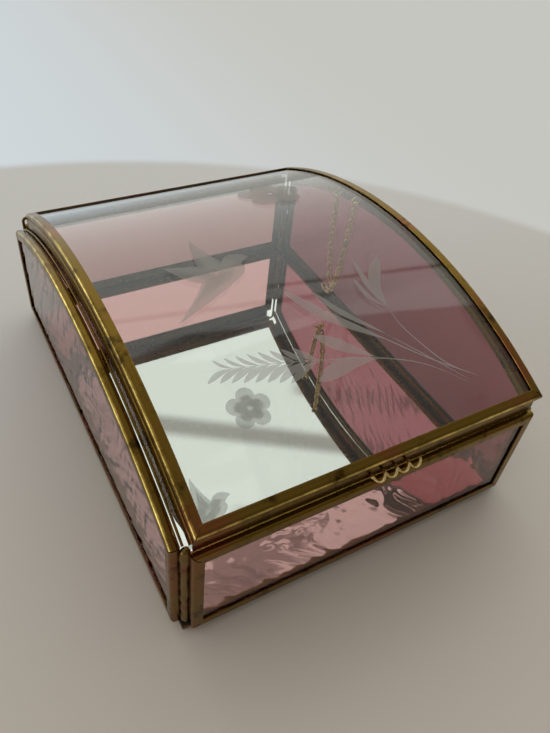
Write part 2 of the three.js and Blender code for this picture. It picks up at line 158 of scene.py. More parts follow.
# The left window is brighter than white, so its colour is given as linear light.
left_window_light = (2.2, 2.25, 2.2, 1.0)
seen_by_camera = add_node(room, "LightPath").outputs["Is Camera Ray"]
room_colour = unlit_room.outputs[2]
for share, colour in (
    (lit_share, srgb("#fafdf8")),
    (left_window, left_window_light),
    (seen_by_camera, srgb("#cdd3d5")),
):
    laid_over = add_node(room, "Mix", colour_mix, {0: share, 6: room_colour, 7: colour})
    room_colour = laid_over.outputs[2]
room_light = add_node(room, "Background", inputs={"Color": room_colour, "Strength": 1.0})
add_node(room, "OutputWorld", inputs={"Surface": room_light})


# Floor
# A plain pale table top that runs up to a paler wall behind, met along a soft curved line. Painted light
# makes the table paler far off and darker near the front.
def new_material(name):
    """An empty material and its node tree."""
    material = bpy.data.materials.new(name)
    material.use_nodes = True
    material.node_tree.nodes.clear()
    return material, material.node_tree


floor_size = 6
wall_line_centre = (-110.2, -172.5, 0)
wall_start, wall_end = 424.5, 436.5
near_y, far_y = -180, 190
left_x, right_x = -150, 300
floor_material, floor_tree = new_material("matt_pale_laminate")
floor_place = add_node(floor_tree, "TexCoord").outputs["Object"]
floor_axes = add_node(floor_tree, "SeparateXYZ", inputs={"Vector": floor_place})
from_wall_centre = add_node(
    floor_tree,
    "VectorMath",
    {"operation": "DISTANCE"},
    {0: floor_place, 1: [value * mm for value in wall_line_centre]},
)
painted_falloff_share, right_share, wall_share = (
    add_node(
        floor_tree, "MapRange", smooth_step, {"Value": value, "From Min": start * mm, "From Max": end * mm}
    )
    for value, start, end in (
        (floor_axes.outputs["Y"], near_y, far_y),
        (floor_axes.outputs["X"], left_x, right_x),
        (from_wall_centre.outputs["Value"], wall_start, wall_end),
    )
)
# Painted falloff of light: the table's colour goes from a darker warm tone near the front to a paler one
# far off.
floor_colour = add_node(
    floor_tree, "Mix", colour_mix, {0: painted_falloff_share, 6: srgb("#f2e9de"), 7: srgb("#fbfaf8")}
)
table_shader = add_node(
    floor_tree, "BsdfPrincipled", inputs={"Base Color": floor_colour.outputs[2], "Roughness": 0.65}
)
wall_colour = add_node(
    floor_tree, "Mix", colour_mix, {0: right_share, 6: srgb("#d0d9de"), 7: srgb("#c6c6c0")}
)
wall_shader = add_node(floor_tree, "Emission", inputs={"Color": wall_colour.outputs[2], "Strength": 1.0})
light_path = add_node(floor_tree, "LightPath")
rays = [light_path.outputs[f"Is {kind} Ray"] for kind in ("Camera", "Glossy", "Transmission")]
seen = combined(floor_tree, "MAXIMUM", *rays)
wall_seen = combined(floor_tree, "MULTIPLY", wall_share, seen)
floor_shader = add_node(floor_tree, "MixShader", inputs={0: wall_seen, 1: table_shader, 2: wall_shader})
add_node(floor_tree, "OutputMaterial", inputs={"Surface": floor_shader})
floor_mesh = bpy.data.meshes.new("floor")
half_floor = floor_size / 2
floor_corners = [(x, y, 0) for x, y in ((-1, -1), (1, -1), (1, 1), (-1, 1))]
floor_mesh.from_pydata((np.array(floor_corners) * half_floor).tolist(), [], [(0, 1, 2, 3)])
floor_mesh.materials.append(floor_material)
floor = bpy.data.objects.new("floor", floor_mesh)
bpy.context.scene.collection.objects.link(floor)


# Came
# Extruded brass U channel, bent round each pane and cut on a mitre at the corners. Years of handling have
# left it olive and copper brown. The bright metal along its rounded edges is partly wear and partly a
# painted highlight.
def box_mm(node):
    """A CAD node's lowest and highest corners, in millimetres."""
    low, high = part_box(node)
    return np.array(low) / mm, np.array(high) / mm


def rolling(u, v, lengths, angles, seed):
    """Waves over u and v with a variance of one: a sum of sines, each with a length, an angle and a
    phase of its own."""
    draw = np.random.default_rng(seed)
    waves = 14
    length = draw.uniform(*lengths, waves)
    angle = draw.uniform(*angles, waves)
    phase = draw.uniform(0, 2 * np.pi, waves)
    along = u[..., None] * np.cos(angle) + v[..., None] * np.sin(angle)
    return np.sin(2 * np.pi * along / length + phase).sum(-1) * np.sqrt(2 / waves)


def grid_quads(rows, columns, start=0, wrap_rows=False, wrap_columns=False):
    """The quads between neighbouring points of a grid that is numbered row by row from start."""
    i = np.arange(rows if wrap_rows else rows - 1)[:, None]
    j = np.arange(columns if wrap_columns else columns - 1)[None, :]
    next_i, next_j = (i + 1) % rows, (j + 1) % columns
    corners = [i * columns + j, i * columns + next_j, next_i * columns + next_j, next_i * columns + j]
    return (np.stack(np.broadcast_arrays(*corners), -1).reshape(-1, 4) + start).tolist()


def tube_faces(rows, columns):
    """The faces of a closed tube: the quads between its rings and a cap at each end."""
    caps = [list(range(columns)), list(range((rows - 1) * columns, rows * columns))]
    return grid_quads(rows, columns, wrap_columns=True) + caps


def in_space(x, y, z):
    """Points from three coordinates, each spread to the shape that the others have."""
    return np.stack(np.broadcast_arrays(x, y, z), -1)


def enclosed_volume(points, faces):
    """The signed volume inside the faces: a sum of tetrahedra from the origin, a fan to each face."""
    total = 0
    for count in {len(face) for face in faces}:
        corner = points[np.array([face for face in faces if len(face) == count])]
        for k in range(1, count - 1):
            total += (corner[:, 0] * np.cross(corner[:, k], corner[:, k + 1])).sum()
    return total


def new_piece(name, points, faces, material, body, slot, stands_for=(), values=None, crease=40):
    """A closed mesh from points in millimetres, its faces turned outwards, which rides on a body."""
    points = points.reshape(-1, 3)
    if enclosed_volume(points, faces) < 0:
        faces = [list(face)[::-1] for face in faces]
    mesh = bpy.data.meshes.new(name)
    mesh.from_pydata((points * mm).tolist(), [], faces)
    mesh.shade_smooth()
    mesh.set_sharp_from_angle(angle=np.radians(crease))
    for key, value in (values or {}).items():
        value = np.asarray(value, np.float32)
        kind, field = ("FLOAT_VECTOR", "vector") if value.ndim > 1 else ("FLOAT", "value")
        mesh.attributes.new(key, kind, "POINT").data.foreach_set(field, value.ravel())
    mesh.materials.append(material)
    piece = bpy.data.objects.new(name, mesh)
    bpy.context.scene.collection.objects.link(piece)
    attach(piece, body)
    if stands_for:
        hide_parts(*stands_for)


came_thickness = np.ptp([corner[1] for corner in box_mm("front_came_top")])
came_leg = 4
came_wall = 0.5
came_corner = 1.5
face_hollow = 0.06
came_sway = 0.04
lay_offsets = 97
mitre_gap = 0.3
ring_spacing = 2.5
# These values are worn metal and also a painted highlight along the channel's rounded edges.
corner_wear_and_sheen, face_wear_and_sheen, lip_wear_and_sheen, web_wear_and_sheen = 0.8, 0.25, 0.5, 0.35


def came_section():
    """The channel's closed section as depth from the pane's edge, distance across, and wear with painted
    highlight: a flat web, two quarter circles, slightly hollow legs that end in half circles, and the slot."""
    half = came_thickness / 2
    lip = came_wall / 2
    turn = np.linspace(0, np.pi / 2, 7)
    corner = in_space(
        came_corner * (1 - np.sin(turn)),
        half - came_corner * (1 - np.cos(turn)),
        corner_wear_and_sheen * np.sin(2 * turn),
    )
    share = np.linspace(1, 0, 5)[:-1]
    face = in_space(
        came_corner + (came_leg - lip - came_corner) * share,
        half - face_hollow * np.sin(np.pi * share),
        face_wear_and_sheen * share**4,
    )
    swing = np.linspace(-np.pi / 2, np.pi / 2, 5)[:-1]
    rolled = in_space(came_leg - lip + lip * np.cos(swing), half - lip + lip * np.sin(swing), lip_wear_and_sheen)
    slot = np.array([(came_wall, half - came_wall, 0.0)])
    side = np.concatenate((slot, rolled, face, corner))
    flat = np.linspace(1, -1, 7)[1:-1]
    web = in_space(0, (half - came_corner) * flat, web_wear_and_sheen)
    other = side[::-1] * (1, -1, 1)
    return np.concatenate((side, web, other))


def inward_steps(outline):
    """For each corner of a closed counterclockwise outline, the step inwards for a unit of depth: the
    sum of the two edges' normals, over one plus the cosine between them."""
    before = outline - np.roll(outline, 1, 0)
    after = np.roll(outline, -1, 0) - outline
    before /= np.linalg.norm(before, axis=1, keepdims=True)
    after /= np.linalg.norm(after, axis=1, keepdims=True)
    normals = np.stack((-before[:, 1] - after[:, 1], before[:, 0] + after[:, 0]), -1)
    return normals / (1 + (before * after).sum(1))[:, None]


def divided(start, end, spacing):
    """Points about a spacing apart on a straight edge, both ends included."""
    count = max(2, int(round(np.linalg.norm(np.subtract(end, start)) / spacing)) + 1)
    share = np.linspace(0, 1, count)[:, None]
    return np.asarray(start) * (1 - share) + np.asarray(end) * share


def edges_between(corners, spacing):
    """The four edges of a panel, each from a corner to the next."""
    return [divided(corners[k], corners[(k + 1) % 4], spacing) for k in range(4)]


def drawn_piece(name, points, along, section, wear_and_sheen, offset, body, stands_for, crease=40):
    """A drawn brass length from its rings of points, with its wear and painted highlight, and its lay: how
    far along the length and how far round its section each point is."""
    rows, columns = points.shape[:2]
    round_section = np.concatenate(([0], np.cumsum(np.hypot(*np.diff(section)))))
    lay = in_space(along[:, None], round_section, offset).reshape(-1, 3)
    values = {"lay": lay, "wear_and_sheen": np.broadcast_to(wear_and_sheen, (rows, columns)).ravel()}
    faces = tube_faces(rows, columns)
    new_piece(name, points, faces, aged_brass, body, "came_brass", stands_for, values, crease)


def came_piece(name, edges, which, place, body, stands_for, wear_and_sheen_share):
    """One length of channel: its section at each point of an edge, square to it inside and on the
    mitre at both ends, put in space by place(along the panel, up the panel, across it)."""
    outline = np.concatenate([edge[:-1] for edge in edges])
    steps = inward_steps(outline)
    first = sum(len(edge) - 1 for edge in edges[:which])
    edge = edges[which]
    step = steps[(first + np.arange(len(edge))) % len(outline)]
    shift = np.zeros_like(edge)
    for end, beside in ((0, 1), (-1, -2)):
        run = edge[beside] - edge[end]
        shift[end] = run / np.linalg.norm(run) * np.linalg.norm(step[end]) * mitre_gap / 2
    depth, across, wear_and_sheen = came_section().T
    along = np.concatenate(([0], np.cumsum(np.linalg.norm(np.diff(edge, axis=0), axis=1))))
    seed = sum(map(ord, name))
    sway = rolling(along, 0 * along, (18, 60), (-0.3, 0.3), seed)[:, None] * came_sway
    flat = edge[:, None] + step[:, None] * depth[None, :, None] + shift[:, None]
    squeeze = 1 - np.abs(sway) / came_thickness
    points = place(flat[..., 0], flat[..., 1], across * squeeze)
    worn_and_sheen, offset = wear_and_sheen * wear_and_sheen_share, seed % lay_offsets
    drawn_piece(name, points, along, (depth, across), worn_and_sheen, offset, body, stands_for)


blotch_size = 9
pit_size = 1.6
line_stretch = (0.04, 6.0, 1.0)
drawn_line_depth = 0.08
pit_depth = 0.12


def aged_metal(name, light, warm, dark, bright, roughness, patch_size=28):
    """Drawn brass with an uneven patina: patches of two browns and a dark tarnish by Object place, bright
    metal where the value of wear and painted highlight is high, and fine lines along the drawn length."""
    material, tree = new_material(name)
    glossiest, dullest = roughness
    place = add_node(tree, "TexCoord").outputs["Object"]
    wear_and_sheen = add_node(tree, "Attribute", {"attribute_name": "wear_and_sheen"}).outputs["Fac"]
    lay = add_node(tree, "Attribute", {"attribute_name": "lay"}).outputs["Vector"]
    patches, blotches, pits = (
        add_node(
            tree,
            "TexNoise",
            inputs={"Vector": place, "Scale": 1 / (size * mm), "Detail": detail, "Roughness": fineness},
        )
        for size, detail, fineness in ((patch_size, 4, 0.6), (blotch_size, 6, 0.7), (pit_size, 3, 0.5))
    )
    # Bright metal where wear and the painted edge highlight are high, broken up by the tarnish blotches.
    rubbing_and_sheen = add_node(tree, "Math", {"operation": "MULTIPLY_ADD"}, {0: blotches, 1: -1.1, 2: wear_and_sheen})
    colour = srgb(light)
    for shade, value, least, full, strongest in (
        (warm, patches, 0.5, 0.66, 1.0),
        (dark, blotches, 0.52, 0.72, 0.85),
        (bright, rubbing_and_sheen, -0.1, 0.45, 0.9),
    ):
        reach = {"Value": value, "From Min": least, "From Max": full, "To Max": strongest}
        share = add_node(tree, "MapRange", smooth_step, reach)
        laid_over = add_node(tree, "Mix", colour_mix, {0: share, 6: colour, 7: srgb(shade)})
        colour = laid_over.outputs[2]
    spread = {"From Min": 0.3, "From Max": 0.7, "To Min": glossiest, "To Max": dullest}
    gloss = add_node(tree, "MapRange", inputs={"Value": blotches, **spread})
    stretch = add_node(tree, "Mapping", inputs={"Vector": lay, "Scale": line_stretch})
    lines = add_node(tree, "TexNoise", inputs={"Vector": stretch, "Scale": 1, "Detail": 2})
    drawn = add_node(
        tree, "Bump", inputs={"Height": lines, "Strength": 0.25, "Distance": drawn_line_depth * mm}
    )
    pitted = add_node(
        tree, "Bump", inputs={"Height": pits, "Strength": 0.35, "Distance": pit_depth * mm, "Normal": drawn}
    )
    shader = add_node(
        tree,
        "BsdfPrincipled",
        inputs={"Base Color": colour, "Metallic": 1.0, "Roughness": gloss, "Normal": pitted},
    )
    add_node(tree, "OutputMaterial", inputs={"Surface": shader})
    return material


aged_brass = aged_metal("aged_drawn_brass", "#7a6026", "#86562f", "#241a10", "#f0d478", (0.14, 0.34))


# Walls and floor frame
# Two end walls with arched tops, a front and a back wall between them, and the mirror's frame below.
wall_foot = box_mm("front_came_bottom")[0][2]
wall_height = box_mm("front_came_top")[1][2] - wall_foot
arch_rise = box_mm("left_came_arch")[1][2] - wall_foot - wall_height
side_front, side_back = box_mm("left_came_front")[0][1], box_mm("left_came_back")[1][1]
side_length = side_back - side_front
middle_y = (side_front + side_back) / 2
arch_radius = side_length**2 / (8 * arch_rise) + arch_rise / 2
front_width = 2 * box_mm("front_came_right")[1][0]


def arch_top(along):
    """The height of an end wall's arched edge over its foot, at a distance from its middle."""
    return wall_height + arch_rise - arch_radius + np.sqrt(arch_radius**2 - along**2)


def upright_edges(width, height, arched):
    """A panel's bottom, right, top and left edges, counterclockwise, with an arc for the top or a
    straight line."""
    half = width / 2
    edges = edges_between([(-half, 0), (half, 0), (half, height), (-half, height)], ring_spacing)
    if arched:
        half_angle = np.arcsin(half / arch_radius)
        count = int(2 * half_angle * arch_radius / ring_spacing)
        angle = np.linspace(half_angle, -half_angle, count + 1)
        arc = (arch_radius * np.sin(angle), arch_top(arch_radius * np.sin(angle)))
        edges[2] = np.stack(arc, -1)
    return edges


def end_wall_place(sign):
    """Puts a point of an end wall in space: along it is +Y, across it is +X."""
    low, high = box_mm("left_came_bottom" if sign < 0 else "right_came_bottom")
    middle_x = (low[0] + high[0]) / 2
    return lambda a, z, across: in_space(middle_x + across, middle_y + a, wall_foot + z)


def long_wall_place(name):
    """Puts a point of the front or back wall in space: along it is +X, across it is -Y."""
    low, high = box_mm(f"{name}_came_top")
    plane_y = (low[1] + high[1]) / 2
    return lambda a, z, across: in_space(a, plane_y - across, wall_foot + z)


def floor_place_mm(a, b, across):
    """Puts a point of the floor panel in space: a is +X, b is +Y from its front edge."""
    front, _ = box_mm("base_came_front")
    return in_space(a, front[1] + b, came_thickness / 2 + across)


end_edges = upright_edges(side_length, wall_height, True)
long_edges = upright_edges(front_width, wall_height, False)
base_width = 2 * box_mm("base_came_right")[1][0]
base_depth = box_mm("base_came_back")[1][1] - box_mm("base_came_front")[0][1]
base_edges = upright_edges(base_width, base_depth, False)

end_names, long_names = ("bottom", "back", "arch", "front"), ("bottom", "right", "top", "left")
flat_names = ("front", "right", "back", "left")
panels = [
    ("left", end_names, end_edges, end_wall_place(-1)),
    ("right", end_names, end_edges, end_wall_place(1)),
    ("front", long_names, long_edges, long_wall_place("front")),
    ("back", long_names, long_edges, long_wall_place("back")),
    ("base", flat_names, base_edges, floor_place_mm),
]
# The arches take the full painted highlight and wear on their edges. The straight lengths take less.
arch_wear_and_sheen_share, straight_wear_and_sheen_share = 1.0, 0.4
for panel, edge_names, edges, place in panels:
    for which, edge_name in enumerate(edge_names):
        node = f"{panel}_came_{edge_name}"
        wear_and_sheen_share = arch_wear_and_sheen_share if edge_name == "arch" else straight_wear_and_sheen_share
        channel = f"{panel}_{edge_name}_channel"
        came_piece(channel, edges, which, place, "box", (node,), wear_and_sheen_share)

# Lid frame
# The same channel, bent to the lid's arc along both sides, with straight rails at the front and back.
tube_radius = np.ptp([corner[2] for corner in box_mm("hinge_tube")]) / 2
seat_gap = 0.3
lid_front_height = 10.3
hinge_y, hinge_z = (np.mean([corner[k] for corner in box_mm("hinge_tube")]) for k in (1, 2))
lid_slope = np.arcsin(side_length / 2 / arch_radius)
lid_normal = np.array((np.sin(lid_slope), np.cos(lid_slope)))
lid_tangent = np.array((np.cos(lid_slope), -np.sin(lid_slope)))
lid_back_edge = np.array((hinge_y, hinge_z))
lid_back_edge = lid_back_edge - (tube_radius + seat_gap) * lid_tangent + came_thickness / 2 * lid_normal
lid_front_edge = np.array((box_mm("front_came_top")[0][1], wall_foot + wall_height + lid_front_height))
lid_chord = lid_front_edge - lid_back_edge
lid_outer_radius = -(lid_chord @ lid_chord) / (2 * lid_chord @ lid_normal)
lid_radius = lid_outer_radius - came_thickness / 2
lid_centre = lid_back_edge - lid_outer_radius * lid_normal
lid_front_angle = np.arctan2(*(lid_front_edge - lid_centre))
lid_length = lid_radius * (lid_slope - lid_front_angle)
lid_half_width = box_mm("lid_came_right")[1][0]


def lid_place(x, s, across):
    """Bends a flat point of the lid to its arc: s runs along it from the front, across it is upwards."""
    angle = lid_front_angle + s / lid_radius
    radius = lid_radius + across
    y = lid_centre[0] + radius * np.sin(angle)
    z = lid_centre[1] + radius * np.cos(angle)
    return in_space(x, y, z)


# The lid's rails take nearly the full painted highlight and wear on their edges.
lid_wear_and_sheen_share = 0.9
lid_edges = upright_edges(2 * lid_half_width, lid_length, False)
for which, edge_name in enumerate(flat_names):
    node = f"lid_came_{edge_name}"
    came_piece(f"lid_{edge_name}_channel", lid_edges, which, lid_place, "lid", (node,), lid_wear_and_sheen_share)

# Lid skirt
# Thin brass strips on edge, soldered under the lid's front and side rails, that close the gap between the
# lid and the walls. Their edges are rounded by filing, and bright along them with wear and a painted
# highlight.
strip_rounding = 0.4
# How strongly the strips' edges take wear and painted highlight, and over how much of their height.
strip_wear_and_sheen, wear_and_sheen_gain, wear_and_sheen_start = 0.5, 1.6, 0.7
strip_lay_offset = 3


def strip_section(width, height):
    """A strip's closed section: a rectangle whose corners are quarter circles."""
    corner = strip_rounding * width
    turn = np.linspace(0, 2 * np.pi, 25)[:-1] + np.pi / 24
    across = (width / 2 - corner) * np.sign(np.cos(turn)) + corner * np.cos(turn)
    up = (height / 2 - corner) * np.sign(np.sin(turn)) + corner * np.sin(turn)
    return across, up


def strip_piece(name, lengthwise, section, place, body, stands_for=()):
    """A strip: its section at each length, put in space by place(length, across, up)."""
    across, up = section
    points = place(lengthwise[:, None], across[None, :], up[None, :])
    edge = np.clip(wear_and_sheen_gain * np.abs(up) / np.max(np.abs(up)) - wear_and_sheen_start, 0, 1) * strip_wear_and_sheen
    drawn_piece(name, points, lengthwise, section, edge, strip_lay_offset, body, stands_for, crease=60)


front_low, front_high = box_mm("lid_skirt_front")
front_middle = (front_low + front_high) / 2
strip_piece(
    "front_skirt_strip",
    np.linspace(front_low[0], front_high[0], 61),
    strip_section(front_high[1] - front_low[1], front_high[2] - front_low[2]),
    lambda x, across, up: in_space(x, front_middle[1] + across, front_middle[2] + up),
    "lid",
    ("lid_skirt_front",),
)
skirt_lap = 1.2
skirt_end_gap = 0.05
left_skirt_drop = 6.0
drop_start = 5
skirt_top = -came_thickness / 2 + skirt_lap
skirt_foot = (box_mm("lid_skirt_left")[0][2] - lid_centre[1]) / np.cos(lid_front_angle) - lid_radius


def side_skirt_place(middle_x, drop):
    """Puts a point of a side skirt under the lid's arc; its foot drops over a few mm near the front."""

    def place(s, across, up):
        lower = drop * np.clip(s / drop_start - 1, 0, 1) * (up < 0)
        return lid_place(middle_x + across, s, (skirt_top + skirt_foot) / 2 + up - lower)

    return place


for name, drop in (("left", left_skirt_drop), ("right", 0)):
    low, high = box_mm(f"lid_skirt_{name}")
    strip_piece(
        f"{name}_skirt_strip",
        np.linspace(skirt_end_gap, lid_length - came_leg - skirt_end_gap, 90),
        strip_section(high[0] - low[0], skirt_top - skirt_foot),
        side_skirt_place((low[0] + high[0]) / 2, drop),
        "lid",
        (f"lid_skirt_{name}",),
    )


# Water glass
# Rolled sheet glass in dusty pink, smooth inside and rippled outside like wind on water, so that it
# bends what is seen through it into streaks.
def closed_sheet(outer, inner):
    """A sheet between two equal grids: both grids and the four strips that join their rims."""
    rows, columns = outer.shape[:2]
    count = rows * columns
    faces = grid_quads(rows, columns)
    faces += [face[::-1] for face in grid_quads(rows, columns, start=count)]
    index = np.arange(count).reshape(rows, columns)
    rim = np.concatenate((index[0, :], index[1:, -1], index[-1, -2::-1], index[-2:0:-1, 0]))
    following = np.roll(rim, -1)
    faces += np.stack((rim, rim + count, following + count, following), -1).tolist()
    return np.concatenate((outer.reshape(-1, 3), inner.reshape(-1, 3))), faces


push_reach, push_lengths = 3.2, (28, 60)
wave_lengths, wave_angles = (4, 11), (0.2, 1.1)
crest_share = 0.4


def ripple(along, up, seed):
    """The outer face's height in units of its amplitude: waves across the rolling direction, whose
    places are pushed about by longer waves, with their crests sharpened."""
    push = push_reach * rolling(along, up, push_lengths, (0, np.pi), seed)
    waves = rolling(along + push, up - push, wave_lengths, wave_angles, seed + 1)
    return (1 - crest_share) * waves + crest_share * (1 - np.abs(waves))


glass_play = 0.3
glass_inset = came_wall + glass_play
glass_thickness = came_thickness - 2 * (came_wall + glass_play)
ripple_grid = 0.62
ripple_edge, ripple_fade = 2, 3
ripple_middle = 0.4
mark_depth = 0.05


def rippled_pane(name, width, top, place, outwards, glass, ripple_depth, seed):
    """A pane whose grid runs along it and up to its top edge, rippled on the outer face and flat inside;
    the ripples fade out where the channel holds the glass."""
    half = width / 2 - glass_inset
    along = np.linspace(-half, half, int(2 * half / ripple_grid))[:, None]
    height = top(along) - 2 * glass_inset
    share = np.linspace(0, 1, int(np.max(height) / ripple_grid))[None, :]
    up = glass_inset + height * share
    edge = np.minimum(half - np.abs(along), np.minimum(height * share, height * (1 - share)))
    fade = np.clip((edge - ripple_edge) / ripple_fade, 0, 1)
    swell = ripple_depth * ripple(along + 0 * up, up, seed) * fade
    outer = place(along, up, outwards * (glass_thickness / 2 + swell - ripple_depth * ripple_middle))
    inner = place(along, up, -outwards * (glass_thickness / 2 + 0 * swell))
    points, faces = closed_sheet(outer, inner)
    pane = f"{name}_water_glass"
    new_piece(pane, points, faces, glass, "box", "water_glass", (f"{name}_glass",), crease=60)


def clear_or_tinted_glass(name, colour, roughness, seed_size):
    """Polished or rolled glass: the tint is the colour that each face lets through, and small seeds and
    rolling marks tilt the surface a little."""
    material, tree = new_material(name)
    place = add_node(tree, "TexCoord").outputs["Object"]
    marks = add_node(tree, "TexNoise", inputs={"Vector": place, "Scale": 1 / (seed_size * mm), "Detail": 2})
    bump = add_node(tree, "Bump", inputs={"Height": marks, "Strength": 0.3, "Distance": mark_depth * mm})
    look = {"Base Color": srgb(colour), "Roughness": roughness, "IOR": 1.5, "Transmission Weight": 1.0}
    shader = add_node(tree, "BsdfPrincipled", inputs={**look, "Normal": bump})
    add_node(tree, "OutputMaterial", inputs={"Surface": shader})
    return material


# The rose and deep tints are painted shade: darker copies of the same pink glass, for the end walls, which
# lie in shade.
light_pink, shade_darkened_rose_pink, shade_darkened_deep_pink = (
    clear_or_tinted_glass(f"{shade}_rolled_water_glass", colour, roughness=0.02, seed_size=6)
    for shade, colour in (("light_pink", "#d8a6a6"), ("shade_darkened_rose_pink", "#b8848a"), ("shade_darkened_deep_pink", "#a05c66"))
)


def straight_top(along):
    """The height of a front or back wall's top edge over its foot, the same all along."""
    return wall_height + 0 * along


# The left pane's rose tint and the right pane's deep tint are painted shade.
rippled_pane("left", side_length, arch_top, end_wall_place(-1), -1, shade_darkened_rose_pink, 0.05, seed=10)
rippled_pane("right", side_length, arch_top, end_wall_place(1), 1, shade_darkened_deep_pink, 0.035, seed=11)
rippled_pane("front", front_width, straight_top, long_wall_place("front"), 1, light_pink, 0.075, seed=20)
rippled_pane("back", front_width, straight_top, long_wall_place("back"), -1, light_pink, 0.03, seed=21)

# Mirror floor
# Silvered plate glass. The CAD pane's shape is right, so it takes a mirror's finish with a little dust.
dust_size = 1.5
mirror_material, mirror_tree = new_material("silvered_plate_glass")
mirror_place = add_node(mirror_tree, "TexCoord").outputs["Object"]
dust = add_node(
    mirror_tree,
    "TexNoise",
    inputs={"Vector": mirror_place, "Scale": 1 / (dust_size * mm), "Detail": 5, "Roughness": 0.7},
)
dust_haze = add_node(
    mirror_tree,
    "MapRange",
    inputs={"Value": dust, "From Min": 0.5, "From Max": 0.8, "To Min": 0.015, "To Max": 0.1},
)
mirror_shader = add_node(
    mirror_tree,
    "BsdfPrincipled",
    inputs={"Base Color": srgb("#f0f1ec"), "Metallic": 1.0, "Roughness": dust_haze},
)
add_node(mirror_tree, "OutputMaterial", inputs={"Surface": mirror_shader})
for material_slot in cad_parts["base_mirror"].material_slots:
    material_slot.material = mirror_material

# Lid glass
# Clear float glass, bent in a kiln to the lid's arc, with smooth faces.
lid_rows, lid_columns = 121, 25
lid_glass_s = np.linspace(glass_inset, lid_length - glass_inset, lid_rows)[:, None]
lid_glass_x = np.linspace(-1, 1, lid_columns)[None, :] * (lid_half_width - glass_inset)
lid_sheet = [lid_place(lid_glass_x, lid_glass_s, side * glass_thickness / 2) for side in (1, -1)]
bent_float_glass = clear_or_tinted_glass("bent_float_glass", "#f4f7f5", roughness=0.0, seed_size=40)
new_piece("lid_bent_glass", *closed_sheet(*lid_sheet), bent_float_glass, "lid", "lid_glass", ("lid_glass",))


# Engraving
# A bird and a spray of leaves and flowers, cut into the lid's outer face with a stone wheel. The cuts
# are shallow and matt, so they look grey white on dark and dull on bright.
def smooth_line(points, count):
    """A smooth line through a few points: on each stretch a cubic whose slope at a point is half the way
    from its neighbour before to its neighbour after."""
    knots = np.asarray(points, float)
    before = np.concatenate(([2 * knots[0] - knots[1]], knots[:-1]))
    after = np.concatenate((knots[1:], [2 * knots[-1] - knots[-2]]))
    slope = (after - before) / 2
    at = np.linspace(0, len(knots) - 1, count)
    k = np.minimum(at.astype(int), len(knots) - 2)
    t = (at - k)[:, None]
    return (
        (2 * t**3 - 3 * t**2 + 1) * knots[k]
        + (t**3 - 2 * t**2 + t) * slope[k]
        + (3 * t**2 - 2 * t**3) * knots[k + 1]
        + (t**3 - t**2) * slope[k + 1]
    )


cut_depth = 0.08
cut_lift = 0.13
cut_tip = 0.01
dome_rings = 6
dome_centre_share = 0.12


def lens_cut(spine, width, fullest=0.5):
    """A cut along a spine: its half width rises from nothing to full and falls to nothing, and its section
    is a flat lens of two shallow facets that meet in a ridge."""
    line = smooth_line(spine, 25)
    share = np.linspace(0, 1, len(line))
    warped = share ** (np.log(0.5) / np.log(fullest))
    half = width / 2 * np.sin(np.pi * warped) ** 0.8
    half[[0, -1]] = cut_tip
    run = np.gradient(line, axis=0)
    side = np.stack((-run[:, 1], run[:, 0]), -1) / np.linalg.norm(run, axis=1, keepdims=True)
    reach = np.array((-1, -0.5, 0, 0.5, 1, 0.5, 0, -0.5))
    rise = np.array((0, 0.5, 1, 0.5, 0, -0.5, -1, -0.5))
    flat = line[:, None] + side[:, None] * (half[:, None] * reach)[..., None]
    height = rise * cut_depth * (half / half.max())[:, None] + cut_lift
    points = lid_place(flat[..., 0], flat[..., 1], glass_thickness / 2 + height - cut_depth / 2)
    return points.reshape(-1, 3), tube_faces(*points.shape[:2])


def joined(parts):
    """Several closed shapes as one list of points and faces."""
    points, faces, start = [], [], 0
    for some_points, some_faces in parts:
        points.append(some_points)
        faces += [[start + k for k in face] for face in some_faces]
        start += len(some_points)
    return np.concatenate(points), faces


def domed_shape(centre, outline):
    """A shape cut to an outline: rings shrink from it to its centre, and the section is a low dome over
    its mirror image."""
    share = np.linspace(1, dome_centre_share, dome_rings)[:, None, None]
    flat = np.asarray(centre) + share * (outline - np.asarray(centre))
    rise = cut_depth * (1 - share[:, :, 0] ** 2) + 0 * flat[..., 0]
    top = np.concatenate((flat, flat[::-1][:-1]))
    height = np.concatenate((rise, -rise[::-1][:-1])) + cut_lift
    points = lid_place(top[..., 0], top[..., 1], glass_thickness / 2 + height - cut_depth / 2)[:-1]
    return points.reshape(-1, 3), tube_faces(*points.shape[:2])


def curve_chain(start, pieces, count=9):
    """A closed outline of quadratic curves: each piece is its control point and its end."""
    outline, here = [], np.asarray(start, float)
    share = np.linspace(0, 1, count)[:-1, None]
    for control, end in pieces:
        control, end = np.asarray(control, float), np.asarray(end, float)
        outline.append(here * (1 - share) ** 2 + 2 * control * share * (1 - share) + end * share**2)
        here = end
    return np.concatenate(outline)


bird_outline = curve_chain(
    (-18.1, 96.3),
    [
        ((-14.5, 101.4), (-9.0, 98.4)),
        ((-8.0, 97.2), (-6.4, 95.8)),
        ((-9.8, 94.6), (-11.6, 92.2)),
        ((-9.6, 89.6), (-14.5, 85.8)),
        ((-26.0, 78.8), (-46.6, 70.3)),
        ((-36.5, 78.6), (-30.3, 87.0)),
        ((-35.0, 88.4), (-39.9, 100.2)),
        ((-34.5, 98.2), (-27.8, 97.0)),
        ((-26.4, 106.0), (-23.2, 114.6)),
        ((-21.2, 102.6), (-18.1, 96.3)),
    ],
)
bird = [domed_shape((-22.5, 90.5), bird_outline)]

